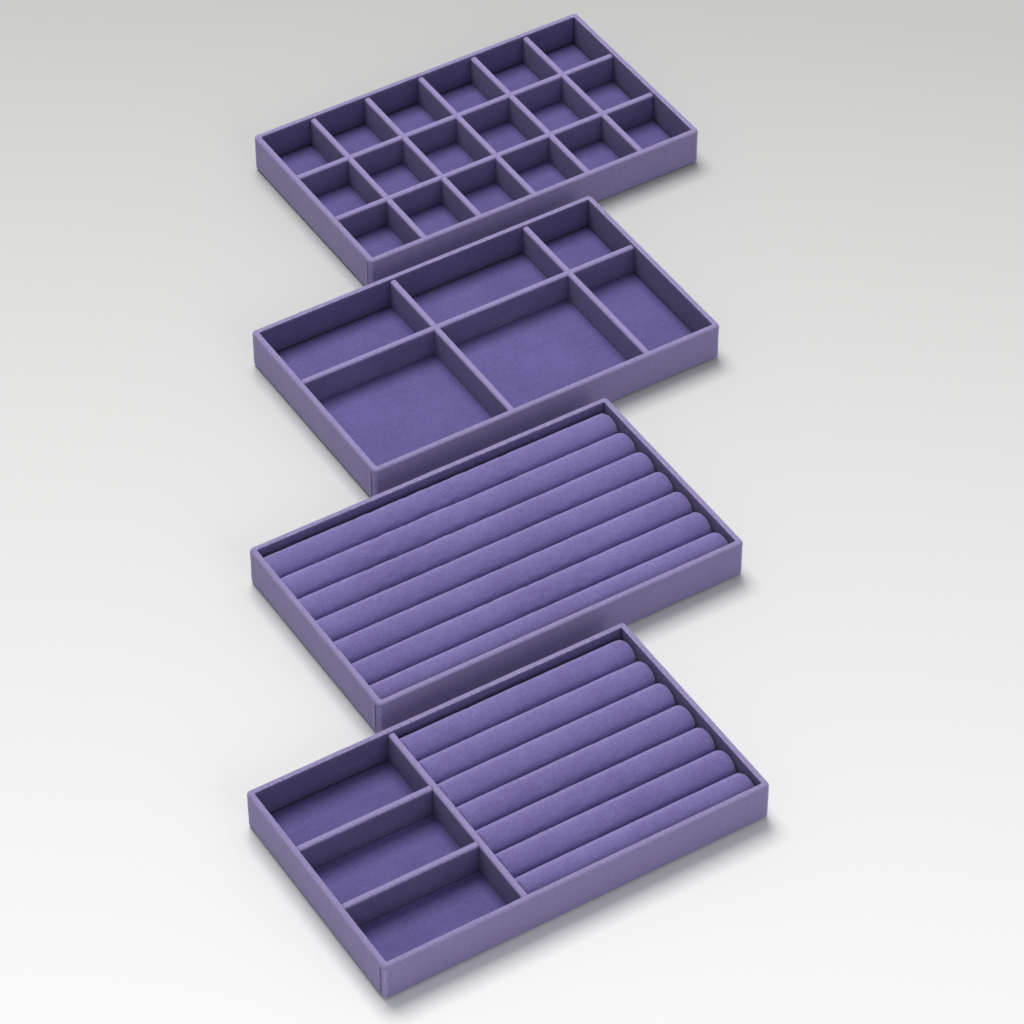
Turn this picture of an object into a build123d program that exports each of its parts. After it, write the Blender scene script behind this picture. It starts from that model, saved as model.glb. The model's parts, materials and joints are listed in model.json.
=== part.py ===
from build123d import *
import os

# A set of four velvet-covered jewelry trays of one size, laid out front to back on a
# surface, each shifted to the right of the one before it. All sizes are in millimetres.
# X runs along a tray's long walls, +Y runs from the front tray to the back one, Z is up.
# The origin is the centre of the set's footprint, on the surface it stands on.

# Tray, outside
tray_length = 300.0
tray_width = 180.0
tray_height = 33.0
wall_board_thickness = 2.5
corner_radius = 3.4
bottom_edge_radius = 2.5
rim_outer_radius = 2.2
rim_inner_radius = 1.0
inner_corner_radius = 1.2

# Coverings and boards
velvet_thickness = 1.0
base_board_thickness = 2.5
underside_sheet_thickness = 0.8
underside_sheet_margin = 4.0
hem_width = 14.0
floor_card_thickness = 1.0
bed_card_thickness = 2.0
insert_clearance = 0.15
insert_corner_radius = 2.0

# Butt seam of the wall covering, on the left wall beside the front corner
seam_from_front = 4.4
seam_width = 0.5
seam_depth = 0.5

# Dividers
divider_board_thickness = 3.0
divider_drop = 1.6
divider_top_radius = 1.7
divider_end_radius = 0.5
divider_end_clearance = 0.15
slot_clearance = 0.15

# Compartments
grid_columns = 6
grid_rows = 3
open_large_column = 113.0
open_back_row = 60.0
mixed_column = 103.0
mixed_rows = 3

# Ring rolls
roll_count = 7
roll_gap = 0.3
roll_left_end_radius = 2.0
roll_right_end_radius = 5.5
roll_flattening = 1.6
roll_left_clearance = 0.3
roll_right_clearance = 0.6

# Layout of the set: the space between neighbouring trays, and the step to the right
tray_gap = 20.0
tray_step = 115.0

# Worked out from the sizes above
wall_thickness = wall_board_thickness + 2 * velvet_thickness
divider_thickness = divider_board_thickness + 2 * velvet_thickness
inner_length = tray_length - 2 * wall_thickness
inner_width = tray_width - 2 * wall_thickness
hem_bottom = underside_sheet_thickness
base_bottom = hem_bottom + velvet_thickness
base_top = base_bottom + base_board_thickness
floor_top = base_top + floor_card_thickness + velvet_thickness
bed_top = base_top + bed_card_thickness + velvet_thickness
divider_top = tray_height - divider_drop
inner_left = -inner_length / 2
inner_right = inner_length / 2
inner_front = -inner_width / 2
inner_back = inner_width / 2

roll_pitch = inner_width / roll_count
roll_radius = (roll_pitch - roll_gap) / 2
roll_centre_z = bed_top + roll_radius - roll_flattening

mixed_divider_x = inner_left + mixed_column + divider_thickness / 2


def write_node(name, solids):
    """One STEP file for one named piece, or for a group of like pieces."""
    shape = solids[0] if len(solids) == 1 else Compound(children=list(solids))
    export_step(shape, f"parts/{name}.step")


def block(x_range, y_range, z_range):
    """A square-edged block between two limits along each axis."""
    size = [high - low for low, high in (x_range, y_range, z_range)]
    centre = [(low + high) / 2 for low, high in (x_range, y_range, z_range)]
    return Pos(*centre) * Box(*size)


def rounded_plate(x_range, y_range, z_range, radius):
    """A plate whose four upright edges are rounded."""
    length = x_range[1] - x_range[0]
    width = y_range[1] - y_range[0]
    place = Pos(sum(x_range) / 2, sum(y_range) / 2, z_range[0])
    return place * extrude(RectangleRounded(length, width, radius), amount=z_range[1] - z_range[0])


def centred_plate(length, width, z_range, radius):
    """A plate with rounded corners, centred on the tray."""
    return rounded_plate((-length / 2, length / 2), (-width / 2, width / 2), z_range, radius)


# Shell of one tray, about the tray's own centre


def make_base_board():
    """The board under the whole tray, inside the covering."""
    return centred_plate(tray_length - 2 * velvet_thickness, tray_width - 2 * velvet_thickness,
                         (base_bottom, base_top), corner_radius - velvet_thickness)


def make_wall_boards():
    """Two long boards that run from end to end, and two short ones set between them."""
    outer_x = tray_length / 2 - velvet_thickness
    outer_y = tray_width / 2 - velvet_thickness
    z_range = (base_top, tray_height - velvet_thickness)
    boards = []
    for side in (-1, 1):
        y_range = sorted((side * outer_y, side * (outer_y - wall_board_thickness)))
        board = block((-outer_x, outer_x), y_range, z_range)
        outer_edges = board.edges().filter_by(Axis.Z).sort_by(Axis.Y)
        outer_edges = outer_edges[-2:] if side > 0 else outer_edges[:2]
        boards.append(fillet(outer_edges, corner_radius - velvet_thickness).solid())
    reach_y = outer_y - wall_board_thickness
    for side in (-1, 1):
        x_range = sorted((side * outer_x, side * (outer_x - wall_board_thickness)))
        boards.append(block(x_range, (-reach_y, reach_y), z_range).solid())
    return boards


def make_wall_wrap(base_board, wall_boards):
    """The velvet drawn over the walls: up the outside, over the rim, down the inside,
    and turned in under the base board as a hem. A butt seam runs up the left wall."""
    wrap = centred_plate(tray_length, tray_width, (hem_bottom, tray_height), corner_radius)
    wrap = fillet(wrap.edges().group_by(Axis.Z)[0], bottom_edge_radius)
    wrap = fillet(wrap.edges().group_by(Axis.Z)[-1], rim_outer_radius)
    wrap -= centred_plate(inner_length, inner_width, (base_top, tray_height + 1), inner_corner_radius)
    rim = wrap.faces().filter_by(Axis.Z).sort_by(Axis.Z)[-1]
    wrap = fillet(rim.inner_wires()[0].edges(), rim_inner_radius)
    for board in [base_board, *wall_boards]:
        wrap -= board
    wrap -= block((-tray_length / 2 + hem_width, tray_length / 2 - hem_width),
                  (-tray_width / 2 + hem_width, tray_width / 2 - hem_width),
                  (hem_bottom, base_bottom))
    seam_y = -tray_width / 2 + seam_from_front
    wrap -= block((-tray_length / 2 - 1, -tray_length / 2 + seam_depth),
                  (seam_y - seam_width / 2, seam_y + seam_width / 2),
                  (hem_bottom + bottom_edge_radius, tray_height - rim_outer_radius))
    return wrap.solid()


def make_underside_sheet():
    """The thin sheet glued over the hem, which the tray stands on."""
    return centred_plate(tray_length - 2 * underside_sheet_margin, tray_width - 2 * underside_sheet_margin,
                         (0, underside_sheet_thickness), corner_radius).solid()


def make_insert(x_range, card_thickness):
    """A card and the velvet on it, laid on the base board between two X limits."""
    x_inner = (x_range[0] + insert_clearance, x_range[1] - insert_clearance)
    y_inner = (inner_front + insert_clearance, inner_back - insert_clearance)
    card_top = base_top + card_thickness
    card = rounded_plate(x_inner, y_inner, (base_top, card_top), insert_corner_radius)
    velvet = rounded_plate(x_inner, y_inner, (card_top, card_top + velvet_thickness), insert_corner_radius)
    return card.solid(), velvet.solid()


# Dividers: a thin board with velvet over its top, sides and ends


def make_divider(x_range, y_range, slots=()):
    """A divider standing on the floor velvet. Its long way is the longer of the two ranges.
    slots are blocks cut out of it where it crosses the others. Gives the board and its cover."""
    cover = block(x_range, y_range, (floor_top, divider_top))
    cover = fillet(cover.edges().filter_by(Axis.Z), divider_end_radius)
    along = Axis.X if x_range[1] - x_range[0] > y_range[1] - y_range[0] else Axis.Y
    top_edges = cover.edges().group_by(Axis.Z)[-1].filter_by(along)
    cover = fillet(top_edges, divider_top_radius)
    t = velvet_thickness
    board = block((x_range[0] + t, x_range[1] - t), (y_range[0] + t, y_range[1] - t),
                  (floor_top, divider_top - t))
    cover -= board
    for slot in slots:
        cover -= slot
        board -= slot
    return board.solid(), cover.solid()


def thickness_range(centre):
    """The two faces of a divider about its middle plane."""
    return (centre - divider_thickness / 2, centre + divider_thickness / 2)


def slot_block(x_centre, y_centre, z_range):
    """The slot where two dividers cross, wider than a divider by the slot clearance."""
    reach = divider_thickness / 2 + slot_clearance
    return block((x_centre - reach, x_centre + reach), (y_centre - reach, y_centre + reach), z_range)


def make_crossing_dividers(x_centres, y_centres):
    """Long dividers at y_centres, slotted from below, over cross dividers at x_centres,
    slotted from above, so that each pair meets halfway up."""
    x_full = (inner_left + divider_end_clearance, inner_right - divider_end_clearance)
    y_full = (inner_front + divider_end_clearance, inner_back - divider_end_clearance)
    halfway = (floor_top + divider_top) / 2
    long_dividers = [
        make_divider(x_full, thickness_range(y),
                     [slot_block(x, y, (floor_top, halfway)) for x in x_centres])
        for y in y_centres
    ]
    cross_dividers = [
        make_divider(thickness_range(x), y_full,
                     [slot_block(x, y, (halfway, divider_top)) for y in y_centres])
        for x in x_centres
    ]
    return long_dividers, cross_dividers


def even_centres(low, high, spaces):
    """Middle planes of the dividers that share a length evenly into spaces."""
    clear = (high - low - (spaces - 1) * divider_thickness) / spaces
    pitch = clear + divider_thickness
    return [low + k * pitch - divider_thickness / 2 for k in range(1, spaces)]


# Ring rolls: a foam roll in a velvet sleeve, flat where it lies. The left end is nearly square
# and the right end is rounder.


def make_roll(x_range, y_centre):
    """A foam core and its sleeve, lying along X. The sleeve is open along the flat underneath."""
    middle = (x_range[0] + x_range[1]) / 2
    length = x_range[1] - x_range[0]

    def round_bar(inset):
        bar = Rot(0, 90, 0) * Cylinder(roll_radius - inset, length - 2 * inset)
        right_edge = bar.edges().filter_by(GeomType.CIRCLE).sort_by(Axis.X)[-1]
        bar = fillet(right_edge, roll_right_end_radius - inset)
        left_edge = bar.edges().filter_by(GeomType.CIRCLE).sort_by(Axis.X)[0]
        bar = fillet(left_edge, roll_left_end_radius - inset)
        return Pos(middle, y_centre, roll_centre_z) * bar

    sleeve = round_bar(0)
    foam = round_bar(velvet_thickness)
    below = block((x_range[0] - 1, x_range[1] + 1), (y_centre - roll_pitch, y_centre + roll_pitch),
                  (roll_centre_z - 2 * roll_radius, bed_top))
    sleeve = sleeve - foam - below
    foam = foam - below
    return foam.solid(), sleeve.solid()


def make_roll_bed(x_range):
    """All the rolls side by side, from the front wall to the back wall."""
    x_rolls = (x_range[0] + roll_left_clearance, x_range[1] - roll_right_clearance)
    centres = [inner_front + (k + 0.5) * roll_pitch for k in range(roll_count)]
    return [make_roll(x_rolls, y) for y in centres]


# The four trays, front to back, and where each one stands

tray_names = ["mixed", "ring", "open", "grid"]
tray_places = {
    name: Pos((k - 1.5) * tray_step, (k - 1.5) * (tray_width + tray_gap), 0)
    for k, name in enumerate(tray_names)
}


def place_and_write(tray, piece, solids):
    """Moves a piece to its tray's place in the set and writes its node."""
    write_node(f"{tray}_{piece}", [tray_places[tray] * solid for solid in solids])


def write_shell(tray):
    """Boards, wall covering and underside sheet, the same for every tray."""
    base_board = make_base_board().solid()
    wall_boards = make_wall_boards()
    place_and_write(tray, "base_board", [base_board])
    place_and_write(tray, "wall_boards", wall_boards)
    place_and_write(tray, "wall_wrap", [make_wall_wrap(base_board, wall_boards)])
    place_and_write(tray, "underside_sheet", [make_underside_sheet()])


def write_insert(tray, name, x_range, card_thickness):
    """A card insert and its velvet."""
    card, velvet = make_insert(x_range, card_thickness)
    place_and_write(tray, f"{name}_card", [card])
    place_and_write(tray, f"{name}_velvet", [velvet])


def write_rolls(tray, x_range):
    """Foam cores as one group, and each velvet sleeve as its own piece."""
    rolls = make_roll_bed(x_range)
    place_and_write(tray, "roll_foams", [foam for foam, _ in rolls])
    for number, (_, sleeve) in enumerate(rolls, start=1):
        place_and_write(tray, f"roll_{number}", [sleeve])


def write_grid_tray():
    """Eighteen equal compartments."""
    write_shell("grid")
    write_insert("grid", "floor", (inner_left, inner_right), floor_card_thickness)
    long_dividers, cross_dividers = make_crossing_dividers(
        even_centres(inner_left, inner_right, grid_columns),
        even_centres(inner_front, inner_back, grid_rows))
    place_and_write("grid", "long_divider_boards", [board for board, _ in long_dividers])
    place_and_write("grid", "cross_divider_boards", [board for board, _ in cross_dividers])
    place_and_write("grid", "long_divider_covers", [cover for _, cover in long_dividers])
    for number, (_, cover) in enumerate(cross_dividers, start=1):
        place_and_write("grid", f"cross_divider_cover_{number}", [cover])


def write_open_tray():
    """Two large columns and a narrow one, with a shallow row at the back."""
    write_shell("open")
    write_insert("open", "floor", (inner_left, inner_right), floor_card_thickness)
    first = inner_left + open_large_column + divider_thickness / 2
    second = first + open_large_column + divider_thickness
    row = inner_back - open_back_row - divider_thickness / 2
    long_dividers, cross_dividers = make_crossing_dividers([first, second], [row])
    place_and_write("open", "long_divider_board", [long_dividers[0][0]])
    place_and_write("open", "long_divider_cover", [long_dividers[0][1]])
    place_and_write("open", "cross_divider_boards", [board for board, _ in cross_dividers])
    place_and_write("open", "cross_divider_covers", [cover for _, cover in cross_dividers])


def write_mixed_tray():
    """Three compartments on the left and ring rolls on the right of a full-depth divider."""
    write_shell("mixed")
    left_face, right_face = thickness_range(mixed_divider_x)
    write_insert("mixed", "floor", (inner_left, right_face), floor_card_thickness)
    write_insert("mixed", "bed", (right_face, inner_right), bed_card_thickness)
    y_full = (inner_front + divider_end_clearance, inner_back - divider_end_clearance)
    board, cover = make_divider((left_face, right_face), y_full)
    place_and_write("mixed", "cross_divider_board", [board])
    place_and_write("mixed", "cross_divider_cover", [cover])
    x_short = (inner_left + divider_end_clearance, left_face - divider_end_clearance)
    short_dividers = [make_divider(x_short, thickness_range(y))
                      for y in even_centres(inner_front, inner_back, mixed_rows)]
    place_and_write("mixed", "short_divider_boards", [board for board, _ in short_dividers])
    place_and_write("mixed", "short_divider_covers", [cover for _, cover in short_dividers])
    write_rolls("mixed", (right_face, inner_right))


def write_ring_tray():
    """Ring rolls over the whole tray."""
    write_shell("ring")
    write_insert("ring", "bed", (inner_left, inner_right), bed_card_thickness)
    write_rolls("ring", (inner_left, inner_right))


os.makedirs("parts", exist_ok=True)
write_mixed_tray()
write_ring_tray()
write_open_tray()
write_grid_tray()
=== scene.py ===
import json
import bpy
import numpy as np
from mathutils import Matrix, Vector


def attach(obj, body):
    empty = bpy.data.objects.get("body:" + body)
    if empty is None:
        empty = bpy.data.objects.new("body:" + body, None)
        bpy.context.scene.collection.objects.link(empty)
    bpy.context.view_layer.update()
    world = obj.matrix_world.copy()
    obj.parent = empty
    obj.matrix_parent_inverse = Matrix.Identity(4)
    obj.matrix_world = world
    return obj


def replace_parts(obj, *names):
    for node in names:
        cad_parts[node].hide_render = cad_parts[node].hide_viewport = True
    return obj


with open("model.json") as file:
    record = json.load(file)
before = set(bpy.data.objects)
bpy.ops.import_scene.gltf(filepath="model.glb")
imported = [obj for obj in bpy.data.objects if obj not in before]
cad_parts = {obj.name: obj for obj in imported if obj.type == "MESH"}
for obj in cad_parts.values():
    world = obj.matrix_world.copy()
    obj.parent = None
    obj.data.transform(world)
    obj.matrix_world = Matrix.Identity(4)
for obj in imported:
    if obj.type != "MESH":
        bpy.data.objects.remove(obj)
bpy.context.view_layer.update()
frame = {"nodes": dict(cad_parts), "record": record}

# Velvet. Short upright pile on a woven back, one bolt of violet for the whole set. The pile lies
# a little differently from patch to patch, its tips sparkle grain by grain, and it opens to a
# paler tone over folded edges, a tone that also serves as a painted highlight. Where two pieces
# meet, and in grooves and hollows, the cloth is darkened with painted shade.


class Wire:
    """One value in a material's tree. Arithmetic on it adds Math nodes, with the number on either
    side; every other node comes from the node method."""

    def __init__(self, tree, socket=None):
        self.tree = tree
        self.socket = socket

    def node(self, kind, settings=None, values=None, out=0):
        """Adds a node: its settings first, then a value or a link for each named socket."""
        made = self.tree.nodes.new(kind)
        for key, value in (settings or {}).items():
            setattr(made, key, value)
        for key, value in (values or {}).items():
            if isinstance(value, Wire):
                self.tree.links.new(value.socket, made.inputs[key])
            else:
                made.inputs[key].default_value = value
        return Wire(self.tree, made.outputs[out] if len(made.outputs) else None)

    def maths(self, operation, first, second):
        return self.node("ShaderNodeMath", {"operation": operation}, {0: first, 1: second})

    def __add__(self, other):
        return self.maths("ADD", self, other)

    def __radd__(self, other):
        return self.maths("ADD", other, self)

    def __sub__(self, other):
        return self.maths("SUBTRACT", self, other)

    def __rsub__(self, other):
        return self.maths("SUBTRACT", other, self)

    def __mul__(self, other):
        return self.maths("MULTIPLY", self, other)

    def __rmul__(self, other):
        return self.maths("MULTIPLY", other, self)

    def limited(self):
        """The value kept between 0 and 1."""
        return self.node("ShaderNodeClamp", None, {"Value": self})

    def blend(self, low, high):
        """A colour between low and high, as this value goes from 0 to 1."""
        low, high = [c if isinstance(c, Wire) else (*c, 1.0) for c in (low, high)]
        return self.node("ShaderNodeMix", {"data_type": "RGBA"}, {0: self, 6: low, 7: high}, out=2)


def new_material(name):
    """An empty node material, with the wire that starts its tree and the wire of its coordinates."""
    made = bpy.data.materials.new(name)
    made.use_nodes = True
    made.node_tree.nodes.clear()
    tree = Wire(made.node_tree)
    return made, tree, tree.node("ShaderNodeTexCoord", None, None, out=3)


def grain(tree, place, size, detail=2.0, rough=0.5):
    """Cloudy noise about 0.5, with clouds about size metres across."""
    return tree.node("ShaderNodeTexNoise", None,
                     {"Vector": place, "Scale": 1.0 / size, "Detail": detail, "Roughness": rough})


def strewn(middle, *noises):
    """A value about the middle. Each noise moves it up and down by its share."""
    for noise, share in noises:
        middle = middle + (noise - 0.5) * share
    return middle


def velvet(name, deep, pale, opened_pile_and_highlight, sheen, outside=None):
    """Velvet from its tone down in the pile to its tone on the tips, the tone of folded edges, where
    the pile opens and which also serves as a painted highlight, and the tone of the outside of a
    wall, where the pile lies down and shows its flank, and which also stands for light that the
    inside of the tray lacks. A shadow tone darkens it where the crease mask is set, as painted shade."""
    made, tree, place = new_material(name)
    patches = grain(tree, place, 0.045, 1.0)
    clouds = grain(tree, place, 0.009, 2.0)
    tufts = grain(tree, place, 0.0019, 2.0, 0.6)
    tips = grain(tree, place, 0.0006, 1.0, 0.6)
    brushed = tree.node("ShaderNodeMapping", None, {"Vector": place, "Scale": (0.25, 1.0, 1.0)})
    strokes = grain(tree, brushed, 0.006, 2.0)
    edge, crease_shade, outer = (tree.node("ShaderNodeAttribute", {"attribute_name": key}, None, out=2)
                           for key in ("edge", "crease_shade", "outer"))
    tone = strewn(0.5, (patches, 0.5), (clouds, 0.25), (strokes, 0.2), (tufts, 0.9), (tips, 0.6))
    cloth = tone.limited().blend(deep, pale)
    # Paler outside tone where the outer mask is set: partly the pile lying down, partly painted light.
    cloth = (outer * (0.5 + tufts * 0.9)).limited().blend(cloth, outside or pale)
    # Paler edge tone: partly opened pile, partly a painted highlight.
    cloth = (edge * strewn(0.8, (tufts, 1.6), (tips, 1.4))).limited().blend(cloth, opened_pile_and_highlight)
    # Painted shade: joins, grooves and hollows are darkened towards a shadow tone.
    shade = [channel * 0.28 for channel in deep]
    cloth = (crease_shade * 0.75).limited().blend(cloth, shade)
    relief = tips * 0.45 + tufts * 0.9 + clouds * 0.5
    pile_depth = 0.00035
    surface = tree.node("ShaderNodeBsdfPrincipled", None, {
        "Base Color": cloth,
        "Roughness": strewn(0.78, (tufts, 0.25)).limited(),
        "Normal": tree.node("ShaderNodeBump", None, {
            "Strength": 0.55, "Distance": pile_depth, "Height": relief}),
        "Specular IOR Level": 0.12,
        "Sheen Weight": sheen,
        "Sheen Roughness": 0.42,
        "Sheen Tint": (0.78, 0.72, 1.0, 1.0),
    })
    tree.node("ShaderNodeOutputMaterial", None, {"Surface": surface})
    return made


wall_velvet = velvet("wall velvet", deep=(0.078, 0.06, 0.16), pale=(0.145, 0.117, 0.27),
                     opened_pile_and_highlight=(0.46, 0.41, 0.66), sheen=0.45, outside=(0.224, 0.19, 0.36))

# Wall covering. One long strip of velvet is glued round each tray's four walls: up the outside,
# over the rim, down the inside, and in under the base. Its two ends meet in a butt seam on the
# left wall beside the front corner, where the cloth dips into the join and puckers a little.

MM = 0.001
tray_length, tray_width, tray_height = 300.0, 180.0, 33.0
tray_gap, tray_step = 20.0, 115.0
trays = {name: ((k - 1.5) * tray_step, (k - 1.5) * (tray_width + tray_gap), 0.0)
         for k, name in enumerate(["mixed", "ring", "open", "grid"])}


def ripple(a, b, size, seed):
    """Soft unevenness from -1 to 1: the mean of six sine waves over a and b, about size mm long,
    with seeded directions and phases."""
    draw = np.random.default_rng(seed)
    waves = 6
    total = 0.0
    for _ in range(waves):
        turn, phase = draw.uniform(0, 2 * np.pi, 2)
        stretch = draw.uniform(0.7, 1.6)
        total = total + np.sin((np.cos(turn) * a + np.sin(turn) * b) * 2 * np.pi / (size * stretch) + phase)
    return total / waves


def bell(value, centre, width):
    """A smooth bump of height 1 at centre, falling off as a bell curve over width."""
    return np.exp(-((value - centre) / width) ** 2)


def risen(value, start, reach):
    """A straight rise from 0 at start to 1 at start + reach."""
    return np.clip((value - start) / reach, 0, 1)


def piece_from_rings(name, tray, rings, material, looped=False, edge=None, crease_shade=None, outer=None):
    """A closed piece from rings of points, an array (along, around, 3) in the tray's own mm. Every
    ring closes on itself. The rings close on each other too where looped, and otherwise each end
    is filled with strips between the points of its ring that mirror each other."""
    along, around = rings.shape[:2]
    i = np.arange(along if looped else along - 1)[:, None]
    j = np.arange(around)[None, :]
    i2, j2 = (i + 1) % along, (j + 1) % around
    faces = np.stack([i * around + j, i2 * around + j, i2 * around + j2, i * around + j2], -1)
    faces = faces.reshape(-1, 4)
    if not looped:
        k = np.arange(around // 2 - 1)
        strip = np.stack([k, k + 1, around - 2 - k, around - 1 - k], -1)
        faces = np.concatenate([faces, strip, strip[:, ::-1] + (along - 1) * around])
    points = (rings.reshape(-1, 3) + np.array(trays[tray])) * MM
    a, b, c, d = (points[faces[:, q]] for q in range(4))
    volume = (np.cross(b - a, c - a) * a).sum() + (np.cross(c - a, d - a) * a).sum()
    if volume < 0:
        faces = faces[:, ::-1]
    mesh = bpy.data.meshes.new(name)
    mesh.from_pydata(points, [], faces.tolist())
    mesh.polygons.foreach_set("use_smooth", np.ones(len(mesh.polygons), dtype=bool))
    for key, values in (("edge", edge), ("crease_shade", crease_shade), ("outer", outer)):
        layer = mesh.attributes.new(key, "FLOAT", "POINT")
        values = np.broadcast_to(0.0 if values is None else values, (along, around))
        layer.data.foreach_set("value", values.astype(np.float32).ravel())
    mesh.materials.append(material)
    piece = bpy.data.objects.new(name, mesh)
    bpy.context.scene.collection.objects.link(piece)
    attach(piece, f"{tray}_tray")
    return piece


wall, corner_round, inner_corner_round = 4.5, 3.4, 1.2
nap = 1.0
base_lift, hem_reach = 0.8, 14.0
hem_top = base_lift + nap
foot_round, rim_round, lip_round = 2.5, 2.2, 1.0
rim_swell = [(2.55, 0.05), (2.85, 0.07), (3.15, 0.05)]

quarter = np.linspace(0, np.pi / 2, 9)
rising, closing = 1 - np.cos(quarter), 1 - np.sin(quarter)
outer_z = np.linspace(base_lift + foot_round, tray_height - rim_round, 20)
inner_z = np.concatenate([np.linspace(tray_height - lip_round, 10.5, 13),
                          [9.4, 8.5, 7.8, 7.2, 6.7, 6.3, 5.4, 4.3]])
strip_back = [(wall - nap, inner_z[-1]), (wall - nap, tray_height - nap), (nap, tray_height - nap),
              (nap, hem_top), (hem_reach, hem_top)]
section = np.concatenate([
    [(hem_reach, base_lift), (9.0, base_lift), (5.0, base_lift)],
    np.stack([foot_round * closing, base_lift + foot_round * rising], -1),
    np.stack([0 * outer_z, outer_z], -1)[1:-1],
    np.stack([rim_round * rising, tray_height - rim_round * closing], -1),
    [(inset, tray_height + swell) for inset, swell in rim_swell],
    np.stack([wall - lip_round * closing, tray_height - lip_round * rising], -1),
    np.stack([wall + 0 * inner_z, inner_z], -1)[1:],
    strip_back,
])
inset, height = section.T
turn_radius = np.maximum(corner_round - inset, inner_corner_round)
pile_side = np.arange(len(inset)) < len(inset) - len(strip_back)
# The way round the tray is measured at this point of the section, about halfway up the outside.
waist = 20

seam_from_corner = 4.4
seam_y = -tray_width / 2 + seam_from_corner
seam_steps = np.array([9.0, 6.5, 4.5, 3.2, 2.2, 1.5, 1.0, 0.7, 0.45, 0.3, 0.18, 0.08, 0.0,
                       -0.08, -0.18, -0.3])
straight = tray_width / 2 - corner_round
left_y = np.concatenate([np.linspace(straight, seam_y + 12.0, 60), seam_y + seam_steps])
corner = np.linspace(0, np.pi / 2, 11)
long_stops, short_stops = np.linspace(0, 1, 110), np.linspace(0, 1, 66)
path = []
for start, end, heading, stops in (
        ((-1, -1), (1, -1), -np.pi / 2, long_stops),
        ((1, -1), (1, 1), 0.0, short_stops),
        ((1, 1), (-1, 1), np.pi / 2, long_stops),
        ((-1, 1), (-1, -1), np.pi, (straight - left_y) / (2 * straight))):
    start, end = np.array(start), np.array(end)
    for stop in stops:
        path.append((*(start + (end - start) * stop), heading))
    for turn in corner[1:-1] if stops[-1] == 1 else corner[:-1]:
        path.append((*end, heading + turn))
side_x, side_y, facing = (column[:, None] for column in np.array(path).T)

FAR = 99.0
floor_line = 6.2


def wall_covering(tray, seed):
    """The section is carried round the tray. Each of its points runs round on a rounded rectangle,
    smaller on every side by the point's inset from the outside. The corners turn at 3.4 mm less
    the inset, and at 1.2 mm at the least. The outer cloth then moves out or in by a soft ripple
    and by upright folds that die away from each corner, and it dips as a bell curve at the seam.
    The rim is paler, partly opened pile and partly a painted highlight, and the upright corners are
    paler where the pile opens. Its outside takes the paler outside tone, which also stands for light
    that the inside lacks. The seam is a dark join, deepened with painted shade, and painted shade
    also darkens the inner walls just above the floor and in the inner corners."""
    x = side_x * (tray_length / 2 - inset - turn_radius) + turn_radius * np.cos(facing)
    y = side_y * (tray_width / 2 - inset - turn_radius) + turn_radius * np.sin(facing)
    z = height + 0 * x
    outside = (inset < wall - 0.4) & (height > 2.0) & pile_side
    inner = (inset > wall - 0.2) & (height > 3.0) & pile_side
    at_corner = np.abs(np.sin(2 * facing))

    girth = np.diff(np.stack([x[:, waist], y[:, waist]]), axis=1, prepend=0)
    round_way = np.cumsum(np.hypot(*girth))[:, None]
    swell = 0.16 * ripple(round_way, z * 1.4, 34.0, seed) + 0.08 * ripple(round_way, z, 11.0, seed + 1)
    face = risen(z, 3.0, 3.0) * risen(-z, -30.8, 2.0) * (inset < 1.5)
    to_seam = np.where(np.cos(facing) < -0.5, np.abs(y - seam_y), FAR) * np.where(y < 0, 1.0, FAR)
    dip = face * (0.75 * bell(to_seam, 0.0, 0.28) - 0.28 * bell(to_seam, 1.15, 0.65))
    pucker = face * 0.14 * np.sin(z * 2 * np.pi / 5.2 + 0.7 * np.sin(z)) * np.exp(-to_seam / 3.0)
    corner_reach = 4.0
    along_x = (1 - np.abs(side_x)) * (tray_length / 2 - corner_reach)
    along_y = (1 - np.abs(side_y)) * (tray_width / 2 - corner_reach)
    to_corner = np.minimum(np.where(np.abs(side_x) < 1, along_x, FAR),
                           np.where(np.abs(side_y) < 1, along_y, FAR))
    fold = np.cos(to_corner * 2 * np.pi / 9.5 + seed) * np.exp(-to_corner / 9.0) * (to_corner < 90)
    out = outside * risen(height, 1.0, 6.0) * swell + pucker + face * 0.16 * fold - dip
    x = x + out * np.cos(facing)
    y = y + out * np.sin(facing)

    # lip: paler rim edge and top, partly opened pile and partly a painted highlight.
    lip = 0.75 * bell(inset, wall - 0.4, 0.35) * (height > 31)
    lip = lip + 0.14 * risen(height, 30.6, 1.6) * (inset < wall)
    upright = 0.4 * bell(at_corner, 1.0, 0.5) * (inset < 2.0)
    # low: painted shade on the inside above the floor and in the inner corners.
    low = 0.9 * bell(z, floor_line, 0.9) + 0.3 * bell(z, floor_line, 5.0) + 0.8 * bell(at_corner, 1.0, 0.6)
    # The seam's darkening is partly a dark join and partly painted shade; the paler outside is partly
    # painted light.
    return piece_from_rings(f"{tray}_wall_covering", tray, np.stack([x, y, z], -1), wall_velvet,
                            looped=True, edge=np.where(pile_side, lip, 0.0) + upright * (height < 31),
                            crease_shade=face * bell(to_seam, 0.0, 0.3) * 1.2 + low * inner,
                            outer=outside * risen(-inset, -4.2, 1.2))


for number, tray in enumerate(trays):
    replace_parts(wall_covering(tray, 10 + number), f"{tray}_wall_wrap")

# Floor inserts. A card cut to the inside of the tray, with velvet glued over it, is dropped in
# and pressed down on the base board. The cloth is full in the middle and thins over the card's
# edges. All round it, a fine dark line and a wider darkening near the walls are painted shade.

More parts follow.
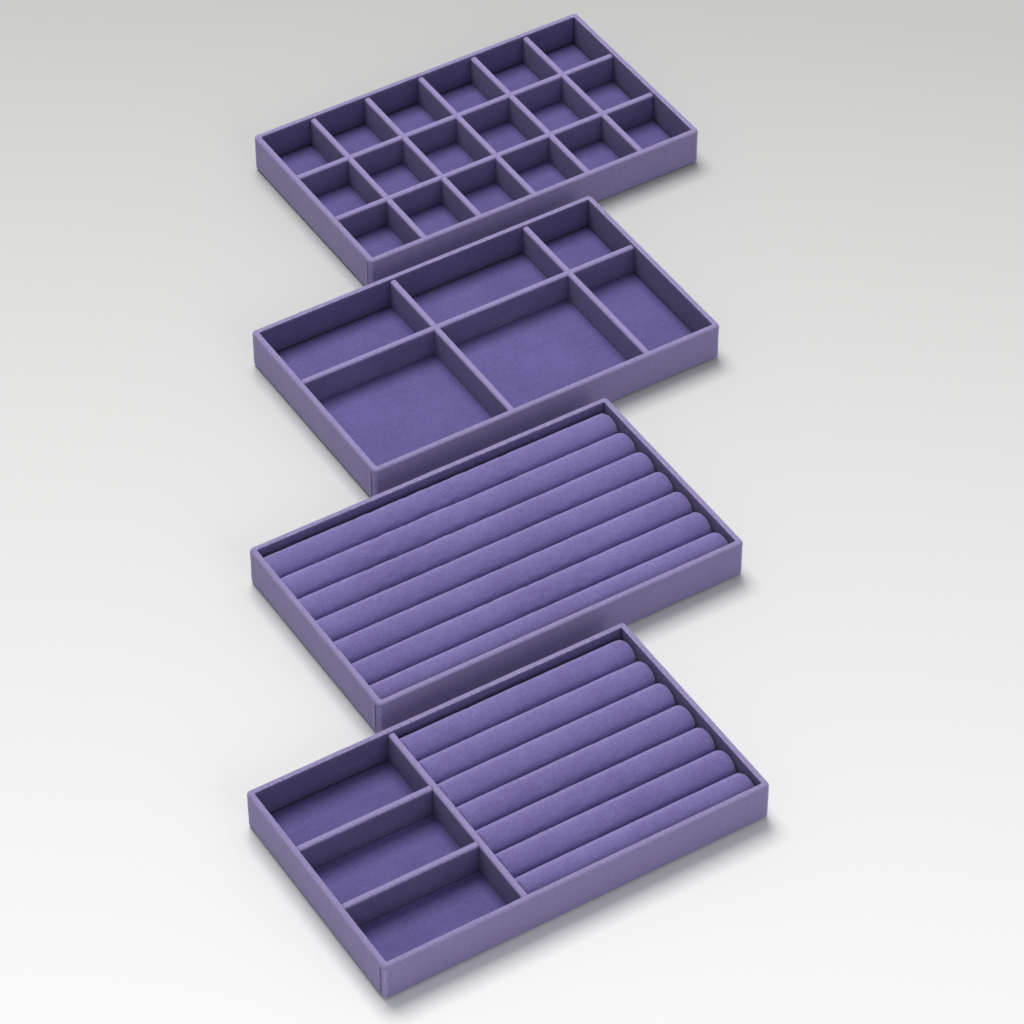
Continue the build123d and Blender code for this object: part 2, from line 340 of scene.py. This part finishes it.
floor_velvet = velvet("floor velvet", deep=(0.083, 0.065, 0.2), pale=(0.15, 0.124, 0.338),
                      opened_pile_and_highlight=(0.3, 0.25, 0.52), sheen=0.32)
inner_left, inner_right = -tray_length / 2 + wall, tray_length / 2 - wall
inner_front, inner_back = -tray_width / 2 + wall, tray_width / 2 - wall
floor_top, bed_top = 6.3, 7.3
clearance = 0.15
insert_corner, insert_edge = 2.0, 0.7


def rounded_off(distance, radius):
    """How far a round of that radius draws a surface in, at a distance from where it ends."""
    inside = np.clip(distance, 0, radius)
    return radius - np.sqrt(np.maximum(radius ** 2 - (radius - inside) ** 2, 0))


def floor_insert(name, tray, left, right, top, seed, node):
    """A plate: over x it runs from left to right, over y its ring runs across the top and back
    underneath. Its corners and its upper edges are rounded, and its top lifts and sinks by a soft
    ripple of 0.1 mm."""
    fine = np.array([0.2, 0.5, 1.0, 1.6, 2.2]) / (right - left)
    x = np.sort(np.concatenate([np.linspace(0, 1, max(24, int((right - left) / 3))), fine, 1 - fine]))
    x = (left + clearance + x * (right - left - 2 * clearance))[:, None]
    across = np.concatenate([np.linspace(-1, 1, 60), [-0.998, -0.995, -0.99, 0.99, 0.995, 0.998]])
    end = np.minimum(x - left, right - x) - clearance
    half = inner_back - clearance - rounded_off(end, insert_corner)
    y = np.sort(across)[None, :] * half
    side = half - np.abs(y)
    rim = np.minimum(side, end)
    z = top + 0.1 * ripple(x, y, 38.0, seed) * np.clip(side / 8, 0, 1) * np.clip(end / 8, 0, 1)
    z = z - rounded_off(rim, insert_edge)
    upper = np.stack([x + 0 * y, y, z], -1)
    lower = np.stack([x + 0 * y, y, np.full_like(z, top - nap)], -1)
    # Painted shade: a fine dark line round the edge and a wider darkening near the walls.
    crease_shade = 0.9 * bell(rim, 0, 0.9) + 0.25 * bell(rim, 0, 6.0)
    piece = piece_from_rings(name, tray, np.concatenate([upper, lower[:, ::-1]], 1), floor_velvet,
                             crease_shade=np.concatenate([crease_shade, crease_shade[:, ::-1]], 1))
    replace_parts(piece, node)


divider, mixed_column = 5.0, 103.0
mixed_face = inner_left + mixed_column + divider
floor_insert("grid_floor", "grid", inner_left, inner_right, floor_top, 21, "grid_floor_velvet")
floor_insert("open_floor", "open", inner_left, inner_right, floor_top, 22, "open_floor_velvet")
floor_insert("mixed_floor", "mixed", inner_left, mixed_face, floor_top, 23, "mixed_floor_velvet")
floor_insert("mixed_bed", "mixed", mixed_face, inner_right, bed_top, 24, "mixed_bed_velvet")
floor_insert("ring_bed", "ring", inner_left, inner_right, bed_top, 25, "ring_bed_velvet")

# Dividers. Each is a thin board in a folded velvet cover, closed at its ends, with a soft round
# top. Where two cross, they are half-lapped: the long one is slotted from below and runs on over
# the top, and the cross one is slotted from above and closes in on it from both sides.

divider_velvet = velvet("divider velvet", deep=(0.09, 0.07, 0.175), pale=(0.165, 0.136, 0.29),
                        opened_pile_and_highlight=(0.42, 0.37, 0.62), sheen=0.45, outside=(0.245, 0.208, 0.4))
divider_top, sunk = 31.4, 0.25
top_round, end_round, slot_round, slot_top_round = 1.8, 0.5, 0.15, 0.12
half_lap = (floor_top + divider_top) / 2
slot_reach = divider / 2 + clearance
lean_reach = 2.4


def divider_cover(name, tray, axis, low, high, centre, crossings, slotted_above, seed, node, butt=None):
    """The section is an upturned U: straight sides and a rounded top. It is carried from low to
    high along the axis, and both ends are rounded off in width and in height. At a crossing the
    section stops at half height, with a small round on each side of the slot. There, and where
    its high end butts on another divider, the cloth leans in over the other one's round top by as
    much as that top falls back, fading over 2.4 mm."""
    side_z = np.concatenate([floor_top + np.array([-sunk, 0.0, 0.4, 0.9, 1.6, 2.5, 3.6]),
                             np.linspace(11.5, divider_top - top_round, 9)])
    arc = np.linspace(0, np.pi / 2, 8)[1:]
    half_width = np.concatenate([0 * side_z + divider / 2,
                                 divider / 2 - top_round * (1 - np.cos(arc)), [0.3]])
    level = np.concatenate([side_z, divider_top - top_round * (1 - np.sin(arc)), [divider_top + 0.06]])
    width = np.concatenate([-half_width, half_width[::-1]])[None, :]
    level = np.concatenate([level, level[::-1]])[None, :]

    fine = np.array([0.0, 0.05, 0.15, 0.3, 0.5, 0.8, 1.3, 2.2])
    stops = [np.linspace(low, high, int((high - low) / 2.6)), low + fine, high - fine]
    near_slot = np.array([-0.4, -0.02, 0.02, 0.06, 0.15, 0.35, 0.7, 1.3])
    for crossing in crossings:
        stops += [crossing + slot_reach + near_slot, crossing - slot_reach - near_slot]
    u = np.unique(np.round(np.concatenate(stops), 4))[:, None]
    end = np.minimum(u - low, high - u)
    to_slot = np.full_like(u, FAR)
    for crossing in crossings:
        to_slot = np.minimum(to_slot, np.abs(u - crossing) - slot_reach)
    past_slot = np.where(to_slot > 0, to_slot, FAR)
    upper = level > half_lap
    cut = upper if slotted_above else level < half_lap

    drawn = rounded_off(end, end_round) + np.where(cut, rounded_off(past_slot, slot_round), 0)
    sway = 0.1 * ripple(u, level * 0.3, 46.0, seed)
    sides_apart = 40
    plump = 1.0 + 0.035 * ripple(u, level * 1.5 + np.sign(width) * sides_apart, 24.0, seed + 1)
    across = np.sign(width) * np.maximum(np.abs(width) * plump - drawn, 0.05) + sway * np.clip(end / 6, 0, 1)
    share = (level - floor_top) / (divider_top - floor_top)
    z = level - share * rounded_off(end, end_round)
    if slotted_above:
        z = z - np.clip(share, 0, 1) * rounded_off(past_slot, slot_top_round) * upper
    stop_at = np.minimum(z, half_lap) if slotted_above else np.maximum(z, half_lap)
    z = np.where(to_slot <= 0, stop_at, z)

    lean = 0 * u
    for crossing in crossings if slotted_above else []:
        beside = (to_slot > 0) * (np.abs(u - crossing) < 8)
        lean = lean + np.sign(crossing - u) * np.clip(1 - to_slot / lean_reach, 0, 1) * beside
    if butt is not None:
        lean = lean + np.clip(1 - (butt - u) / lean_reach, 0, 1)
    along = u + lean * (rounded_off(divider_top - level, top_round) + 0.12 * upper)
    columns = (along, across + centre, z) if axis == "x" else (across + centre, along, z)

    # Paler along the round top, partly opened pile and partly a painted highlight; the top also takes the
    # paler outside tone, partly painted light. Painted shade darkens the ends, the slots and the foot.
    edge = 0.28 * bell(level, divider_top - 0.9, 0.4) + 0.1 * risen(level, divider_top - 1.6, 0.8)
    crease_shade = 0.8 * bell(end, 0, 0.8) + np.where(cut, 0.35 * bell(to_slot, 0, 0.4), 0)
    crease_shade = crease_shade + 0.8 * bell(level, floor_top, 0.9) + 0.25 * bell(level, floor_top, 5.0)
    piece = piece_from_rings(name, tray, np.stack(columns, -1), divider_velvet, edge=edge, crease_shade=crease_shade,
                             outer=risen(level, divider_top - 2.0, 1.0))
    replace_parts(piece, node)


def shared_evenly(low, high, spaces):
    """The middles of the dividers between equal spaces."""
    clear = (high - low - (spaces - 1) * divider) / spaces
    return [low + k * (clear + divider) - divider / 2 for k in range(1, spaces)]


ends_x = (inner_left + clearance, inner_right - clearance)
ends_y = (inner_front + clearance, inner_back - clearance)

grid_x = shared_evenly(inner_left, inner_right, 6)
grid_y = shared_evenly(inner_front, inner_back, 3)
for k, y in enumerate(grid_y, start=1):
    divider_cover(f"grid_long_divider_{k}", "grid", "x", *ends_x, y, grid_x, False, 30 + k,
                  "grid_long_divider_covers")
for k, x in enumerate(grid_x, start=1):
    divider_cover(f"grid_cross_divider_{k}", "grid", "y", *ends_y, x, grid_y, True, 40 + k,
                  f"grid_cross_divider_cover_{k}")

large_column, back_row = 113.0, 60.0
open_x = [inner_left + large_column + divider / 2, inner_left + 2 * large_column + divider * 1.5]
open_y = inner_back - back_row - divider / 2
divider_cover("open_long_divider", "open", "x", *ends_x, open_y, open_x, False, 50,
              "open_long_divider_cover")
for k, x in enumerate(open_x, start=1):
    divider_cover(f"open_cross_divider_{k}", "open", "y", *ends_y, x, [open_y], True, 50 + k,
                  "open_cross_divider_covers")

divider_cover("mixed_cross_divider", "mixed", "y", *ends_y, mixed_face - divider / 2, [], True, 60,
              "mixed_cross_divider_cover")
short_end = mixed_face - divider - clearance
for k, y in enumerate(grid_y, start=1):
    divider_cover(f"mixed_short_divider_{k}", "mixed", "x", inner_left + clearance, short_end, y,
                  [], True, 60 + k, "mixed_short_divider_covers", butt=short_end)

# Ring rolls. A round bar of foam in a velvet sleeve, sewn shut underneath. The left end is nearly
# square and meets the wall; the right end is tucked in to a rounder dome. Seven are pressed in
# side by side, so each is a little flat where it meets the next and where it lies on the bed.

roll_velvet = velvet("roll velvet", deep=(0.101, 0.078, 0.222), pale=(0.196, 0.163, 0.392),
                     opened_pile_and_highlight=(0.38, 0.325, 0.63), sheen=0.44)
rolls_in_tray = 7
pitch = (inner_back - inner_front) / rolls_in_tray
half_groove = pitch / 2 - 0.06
roll_radius, overfill = (pitch - 0.3) / 2, 0.2
roll_middle = bed_top + roll_radius - 1.6
left_round, right_round = 2.0, 5.5
left_dome, right_dome = 0.25, 0.5
left_clearance, right_clearance = 0.3, 0.6


def ring_roll(name, tray, left, right, y_middle, seed, node):
    """Along x the radius is even, then falls as a quarter round at each end, of 2 mm on the left
    and 5.5 mm on the right, and a shallow dome closes it. Around x it is a circle, cut flat on
    the bed and held in at the sides by the next roll. The angle starts at the back and turns up.
    A soft ripple draws the sleeve in by up to 0.3 mm, and near the ends fourteen small tucks by
    0.2 mm. The pile is brushed to the front: it is paler along the back of the top, partly the pile
    and partly a painted highlight, and paler low on the front, partly painted light. The grooves and
    the underside are darkened with painted shade."""
    quarter_round = 1 - np.cos(np.linspace(0, np.pi / 2, 13))
    length = right - left
    even = np.linspace(left_round + 2.0, length - right_round - 2.0, int(length / 3.2))
    distance = np.concatenate([left_round * quarter_round, even, length - right_round * quarter_round[::-1]])
    radius = roll_radius + overfill - rounded_off(distance, left_round)
    radius = radius - rounded_off(length - distance, right_round)
    disc = np.array([0.08, 0.35, 0.65, 0.85])
    dome = 1 - disc ** 2
    x = np.concatenate([left - left_dome * dome, left + distance, (right + right_dome * dome)[::-1]])
    x = x[:, None]
    end = np.concatenate([0 * disc, np.minimum(distance, length - distance), 0 * disc])[:, None]
    barrel = np.concatenate([0 * disc, 0 * distance + 1, 0 * disc])[:, None]
    radius = np.concatenate([disc * radius[0], radius, (disc * radius[-1])[::-1]])[:, None]
    points = 72
    angle = (-np.pi / 2 + (np.arange(points) + 0.5) * 2 * np.pi / points)[None, :]
    slack = 0.22 * (0.5 + 0.5 * ripple(x, angle * roll_radius, 30.0, seed))
    slack = slack + 0.08 * (0.5 + 0.5 * ripple(x, angle * roll_radius, 9.0, seed + 1))
    tuck_count = 14
    tucks = 0.2 * (0.5 + 0.5 * np.cos(tuck_count * angle + seed)) * bell(end, 2.0, 2.6)
    radius = radius - (slack + tucks) * barrel
    y = np.clip(radius * np.cos(angle), -half_groove, half_groove)
    z = np.maximum(roll_middle + radius * np.sin(angle), bed_top)
    # Painted shade in the grooves and underneath, where the next roll and the bed shade the sleeve.
    crease_shade = 0.3 * bell(np.sin(angle), -0.3, 0.3) + 0.3 * (np.sin(angle) < -0.3)
    crease_shade = crease_shade + 0.6 * bell(angle, 0.0, 0.38)
    # Pale back of the top: partly a painted highlight; pale low front: partly painted light.
    piece = piece_from_rings(name, tray, np.stack([x + 0 * y, y + y_middle, z], -1), roll_velvet,
                             edge=0.5 * bell(angle, 0.85, 0.36), crease_shade=crease_shade,
                             outer=0.8 * bell(angle, 2.95, 0.55))
    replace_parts(piece, node)
    return piece


cloth_frames = 20
farthest_move, sewn_end = 0.3 * MM, 8 * MM


def settle_as_cloth(rolls):
    """The sleeves are run together as cloth for twenty frames, with pressure inside for the foam
    and no weight. Each sleeve is cut larger than its roll, so the slack gathers in shallow
    creases. No point moves more than 0.3 mm, or past the bed or the middle of a groove, and the
    movement fades out over the last 8 mm, where the sleeve is sewn to the end."""
    scene = bpy.context.scene
    for roll, _ in rolls:
        cloth = roll.modifiers.new("sleeve", "CLOTH")
        cloth.point_cache.frame_start, cloth.point_cache.frame_end = 1, cloth_frames
        sleeve = cloth.settings
        sleeve.quality = 6
        sleeve.mass = 0.0005
        sleeve.tension_stiffness, sleeve.compression_stiffness = 8.0, 8.0
        sleeve.shear_stiffness, sleeve.bending_stiffness = 3.0, 0.02
        sleeve.use_pressure = True
        sleeve.uniform_pressure_force = 4.0
        sleeve.shrink_min = -0.005
        sleeve.effector_weights.gravity = 0.0
    for moment in range(1, cloth_frames + 1):
        scene.frame_set(moment)
    graph = bpy.context.evaluated_depsgraph_get()
    for roll, middle in rolls:
        count = len(roll.data.vertices)
        before, after = np.empty(count * 3), np.empty(count * 3)
        roll.data.vertices.foreach_get("co", before)
        roll.evaluated_get(graph).data.vertices.foreach_get("co", after)
        before, after = before.reshape(-1, 3), after.reshape(-1, 3)
        to_end = np.minimum(before[:, 0] - before[:, 0].min(), before[:, 0].max() - before[:, 0])
        move = (after - before) * np.clip(to_end / sewn_end, 0, 1)[:, None]
        length = np.linalg.norm(move, axis=1, keepdims=True)
        place = before + move * np.minimum(1.0, farthest_move / np.maximum(length, 1e-9))
        place[:, 1] = np.clip(place[:, 1], middle - half_groove * MM, middle + half_groove * MM)
        place[:, 2] = np.maximum(place[:, 2], bed_top * MM)
        roll.modifiers.clear()
        roll.data.vertices.foreach_set("co", place.ravel())
        roll.data.update()
    scene.frame_set(1)


rolls = []
for tray, left in (("mixed", mixed_face), ("ring", inner_left)):
    for k in range(rolls_in_tray):
        y_middle = inner_front + (k + 0.5) * pitch
        roll = ring_roll(f"{tray}_ring_roll_{k + 1}", tray, left + left_clearance + left_dome,
                         inner_right - right_clearance - right_dome, y_middle,
                         70 + rolls_in_tray * k + len(tray), f"{tray}_roll_{k + 1}")
        rolls.append((roll, (trays[tray][1] + y_middle) * MM))
settle_as_cloth(rolls)

# Boards, cards and foam. The velvet hides them: pressed brown fibreboard for the base, walls and
# dividers, grey-brown card under the inserts, pale open-cell foam in the rolls, and a dark violet
# flocked paper sheet glued over the hem underneath.


def plain_stuff(name, deep, pale, speck, size, stretch, rough):
    """A dull material whose tone wanders with clouds of one size and specks of another."""
    made, tree, place = new_material(name)
    laid = tree.node("ShaderNodeMapping", None, {"Vector": place, "Scale": stretch})
    clouds = grain(tree, laid, size, 3.0, 0.6)
    specks = grain(tree, place, speck, 2.0, 0.7)
    relief_depth = 0.0003
    surface = tree.node("ShaderNodeBsdfPrincipled", None, {
        "Base Color": strewn(0.5, (clouds, 1.1), (specks, 1.3)).limited().blend(deep, pale),
        "Roughness": strewn(rough, (specks, 0.15)).limited(),
        "Normal": tree.node("ShaderNodeBump", None, {
            "Strength": 0.4, "Distance": relief_depth, "Height": specks + clouds * 0.5}),
        "Specular IOR Level": 0.2})
    tree.node("ShaderNodeOutputMaterial", None, {"Surface": surface})
    return made


inner_stuffs = {
    "fibreboard": plain_stuff("fibreboard", (0.23, 0.14, 0.075), (0.4, 0.27, 0.16),
                              speck=0.0008, size=0.012, stretch=(0.3, 1, 1), rough=0.8),
    "card": plain_stuff("grey card", (0.26, 0.23, 0.19), (0.42, 0.38, 0.32),
                        speck=0.0006, size=0.02, stretch=(1, 1, 1), rough=0.85),
    "foam": plain_stuff("roll foam", (0.5, 0.5, 0.46), (0.72, 0.72, 0.68),
                        speck=0.0012, size=0.015, stretch=(1, 1, 1), rough=0.95),
    "backing": plain_stuff("flocked sheet", (0.012, 0.01, 0.02), (0.045, 0.04, 0.065),
                           speck=0.0007, size=0.02, stretch=(1, 1, 1), rough=0.9),
}
for entry in frame["record"]["subparts"]:
    if entry["material_slot"] in inner_stuffs:
        for place in frame["nodes"][entry["node"]].material_slots:
            place.material = inner_stuffs[entry["material_slot"]]

# Surface, light and camera. The set stands on a pale matt table, whose colour is painted darker
# away from the viewer as a painted fall-off of light. A large soft lamp hangs above and behind it,
# a low one fills in from the front, and the room adds a weak even light.

view_heading, view_drop = np.radians(32.0), np.radians(44.0)
table_paint, tree, place = new_material("pale table")
away = tree.node("ShaderNodeVectorMath", {"operation": "DOT_PRODUCT"},
                 {0: place, 1: (float(np.sin(view_heading)), float(np.cos(view_heading)), 0.0)}, out=1)
# Painted light: the table's colour runs from pale near the viewer to darker far away.
painted_light_falloff = (away * 0.75 + 0.5).limited()
surface = tree.node("ShaderNodeBsdfPrincipled", None, {
    "Base Color": painted_light_falloff.blend((0.84, 0.84, 0.835), (0.4, 0.4, 0.395)),
    "Roughness": 0.9,
    "Specular IOR Level": 0.1})
tree.node("ShaderNodeOutputMaterial", None, {"Surface": surface})
reach = 8.0
table_mesh = bpy.data.meshes.new("table")
table_mesh.from_pydata([(-reach, -reach, 0), (reach, -reach, 0), (reach, reach, 0), (-reach, reach, 0)],
                       [], [(0, 1, 2, 3)])
table_mesh.materials.append(table_paint)
table = bpy.data.objects.new("table", table_mesh)
bpy.context.scene.collection.objects.link(table)

world = bpy.data.worlds.new("room")
bpy.context.scene.world = world
world.use_nodes = True
room = world.node_tree.nodes["Background"]
room.inputs["Color"].default_value = (0.93, 0.95, 1.0, 1.0)
room.inputs["Strength"].default_value = 0.42


def soft_lamp(name, place, size, power, colour):
    """A square area lamp at a place, facing the middle of the set."""
    lamp = bpy.data.lights.new(name, "AREA")
    lamp.size = size
    lamp.energy = power
    lamp.color = colour
    made = bpy.data.objects.new(name, lamp)
    made.location = place
    made.rotation_euler = (-Vector(place)).to_track_quat("-Z", "Y").to_euler()
    bpy.context.scene.collection.objects.link(made)


soft_lamp("overhead lamp", (0.15, 1.45, 3.8), 2.0, 156.0, (1.0, 0.985, 0.96))
soft_lamp("low fill lamp", (0.3, -4.4, 2.3), 2.4, 46.0, (0.97, 0.98, 1.0))

view_distance = 3.0
looks_at = Vector((-0.02176, -0.06337, 0.017))
forward = Vector((np.sin(view_heading) * np.cos(view_drop), np.cos(view_heading) * np.cos(view_drop),
                  -np.sin(view_drop)))
camera_data = bpy.data.cameras.new("camera")
camera_data.sensor_width = 36.0
camera_data.lens = 147.376
camera = bpy.data.objects.new("camera", camera_data)
camera.location = looks_at - forward * view_distance
camera.rotation_euler = forward.to_track_quat("-Z", "Y").to_euler()
bpy.context.scene.collection.objects.link(camera)
bpy.context.scene.camera = camera
bpy.context.scene.view_settings.view_transform = "Standard"
